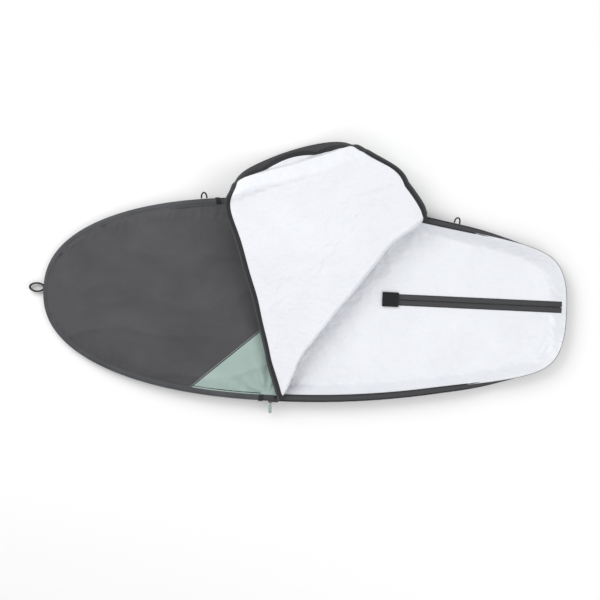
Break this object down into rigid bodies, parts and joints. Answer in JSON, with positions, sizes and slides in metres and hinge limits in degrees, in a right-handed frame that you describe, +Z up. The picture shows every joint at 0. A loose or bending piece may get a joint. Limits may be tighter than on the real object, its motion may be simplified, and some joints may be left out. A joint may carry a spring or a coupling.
{
  "type": "padded board bag",
  "caption": "Long padded board bag lying open, its lid folded back over the nose between zip sliders, with a foil-lined tray, a zipped mast slot and webbing loops",
  "frame": {"origin": "on the floor under the middle of the tray's length and width", "axes": "+X to the tail, +Y to the carrying side with the webbing loops, +Z up"},
  "size_m": [1.9447, 1.0217, 0.2087],
  "materials": {
    "cloth_dark": "woven polyester, matt",
    "cloth_light": "woven polyester, matt",
    "foam": "closed-cell foam",
    "lining": "thin coated film, glossy",
    "zip_metal": "dark painted zinc",
    "pull_rubber": "moulded",
    "zip_coil": "nylon coil",
    "zip_tape": "woven tape",
    "hook_loop": "hook and loop pile",
    "webbing": "woven webbing"
  },
  "bodies": {
    "bag": {"base_cloth": "cloth_dark", "base_foam": "foam", "base_lining": "lining", "side_cloth": "cloth_dark", "side_foam": "foam", "side_lining": "lining", "slot_tapes": "zip_tape", "slot_coil": "zip_coil", "nose_cloth_dark": "cloth_dark", "nose_cloth_light": "cloth_light", "nose_foam": "foam", "nose_lining": "lining", "nose_binding": "webbing", "zip_end_low": "webbing", "zip_end_high": "webbing", "rim_tape": "zip_tape", "rim_coil": "zip_coil", "rim_piping": "webbing", "closed_tape_high": "zip_tape", "closed_tape_low": "zip_tape", "nose_loop": "webbing", "strap_loop_front": "webbing", "strap_loop_rear": "webbing", "carry_handle": "webbing", "handle_wrap": "webbing"},
    "lid_turn_1": {"flap_lining_turn_1": "lining", "flap_foam_turn_1": "foam", "flap_cloth_turn_1": "cloth_light", "flap_tape_turn_1": "zip_tape"},
    "lid_turn_2": {"flap_lining_turn_2": "lining", "flap_foam_turn_2": "foam", "flap_cloth_turn_2": "cloth_light", "flap_tape_turn_2": "zip_tape"},
    "lid_turn_3": {"flap_lining_turn_3": "lining", "flap_foam_turn_3": "foam", "flap_cloth_turn_3": "cloth_light", "flap_tape_turn_3": "zip_tape"},
    "lid_main": {"flap_lining_main": "lining", "flap_foam_main": "foam", "flap_cloth_main": "cloth_light", "flap_tape_main": "zip_tape"},
    "lid_bend": {"flap_lining_bend": "lining", "flap_foam_bend": "foam", "flap_cloth_bend": "cloth_light", "flap_tape_bend": "zip_tape"},
    "lid_tip": {"flap_lining_tip": "lining", "flap_foam_tip": "foam", "flap_cloth_tip": "cloth_light", "flap_tape_tip": "zip_tape"},
    "slider_low": {"slider_low": "zip_metal"},
    "pull_low": {"pull_ring_low": "zip_metal", "pull_tab_low": "pull_rubber"},
    "slider_high": {"slider_high": "zip_metal"},
    "pull_high": {"pull_ring_high": "zip_metal", "pull_tab_high": "pull_rubber"},
    "slot_slider": {"slot_slider": "zip_metal", "slot_pull": "zip_metal"},
    "slot_patch": {"slot_patch": "hook_loop"}
  },
  "joints": [
    {"name": "lid_fold_1", "type": "hinge", "parent": "bag", "child": "lid_turn_1", "pos_m": [-0.084, -0.36499, 0.0615], "axis": [0.5912, 0.8065, 0], "range_deg": [0, 56]},
    {"name": "lid_fold_2", "type": "hinge", "parent": "lid_turn_1", "child": "lid_turn_2", "pos_m": [-0.08044, -0.36395, 0.06485], "axis": [0.5957, 0.8031, 0.0084], "range_deg": [0, 56]},
    {"name": "lid_fold_3", "type": "hinge", "parent": "lid_turn_2", "child": "lid_turn_3", "pos_m": [-0.07987, -0.36067, 0.06858], "axis": [0.5926, 0.8053, 0.0177], "range_deg": [0, 56]},
    {"name": "lid_shear", "type": "hinge", "parent": "lid_turn_3", "child": "lid_main", "pos_m": [-0.08147, -0.35498, 0.06964], "axis": [-0.1572, 0.1371, -0.978], "range_deg": [0, 6.3]},
    {"name": "lid_droop_1", "type": "hinge", "parent": "lid_main", "child": "lid_bend", "pos_m": [-0.26926, 0.37978, 0.20286], "axis": [0.9276, 0.3604, -0.0985], "range_deg": [0, 40]},
    {"name": "lid_droop_2", "type": "hinge", "parent": "lid_bend", "child": "lid_tip", "pos_m": [-0.27074, 0.41708, 0.1817], "axis": [0.9276, 0.3604, -0.0985], "range_deg": [0, 38]},
    {"name": "slider_low_run", "type": "hinge", "parent": "bag", "child": "slider_low", "pos_m": [-0.076, 2.6406, 0.052], "axis": [0, 0, 1], "range_deg": [0, 10.3]},
    {"name": "pull_low_swing", "type": "hinge", "parent": "slider_low", "child": "pull_low", "pos_m": [-0.10405, -0.37238, 0.0526], "axis": [-1, 0.0063, 0], "range_deg": [0, 110]},
    {"name": "slider_high_run", "type": "hinge", "parent": "bag", "child": "slider_high", "pos_m": [-0.076, -2.6406, 0.052], "axis": [0, 0, 1], "range_deg": [-0.5, 3]},
    {"name": "pull_high_swing", "type": "hinge", "parent": "slider_high", "child": "pull_high", "pos_m": [0.40516, 0.33385, 0.0526], "axis": [0.9867, -0.1626, 0], "range_deg": [0, 30]},
    {"name": "slot_slider_run", "type": "slide", "parent": "bag", "child": "slot_slider", "axis": [1, 0, 0], "range_m": [0, 0.535]},
    {"name": "slot_patch_lift", "type": "hinge", "parent": "bag", "child": "slot_patch", "pos_m": [0.284, 0.02, 0.0164], "axis": [0, -1, 0], "range_deg": [0, 30]}
  ],
  "couplings": [
    {"joint": "lid_fold_2", "follows": "lid_fold_1", "ratio": 1},
    {"joint": "lid_fold_3", "follows": "lid_fold_1", "ratio": 1},
    {"joint": "lid_shear", "follows": "lid_fold_1", "ratio": 0.1125},
    {"joint": "lid_droop_1", "follows": "lid_fold_1", "ratio": 0.71429},
    {"joint": "lid_droop_2", "follows": "lid_fold_1", "ratio": 0.67857}
  ]
}
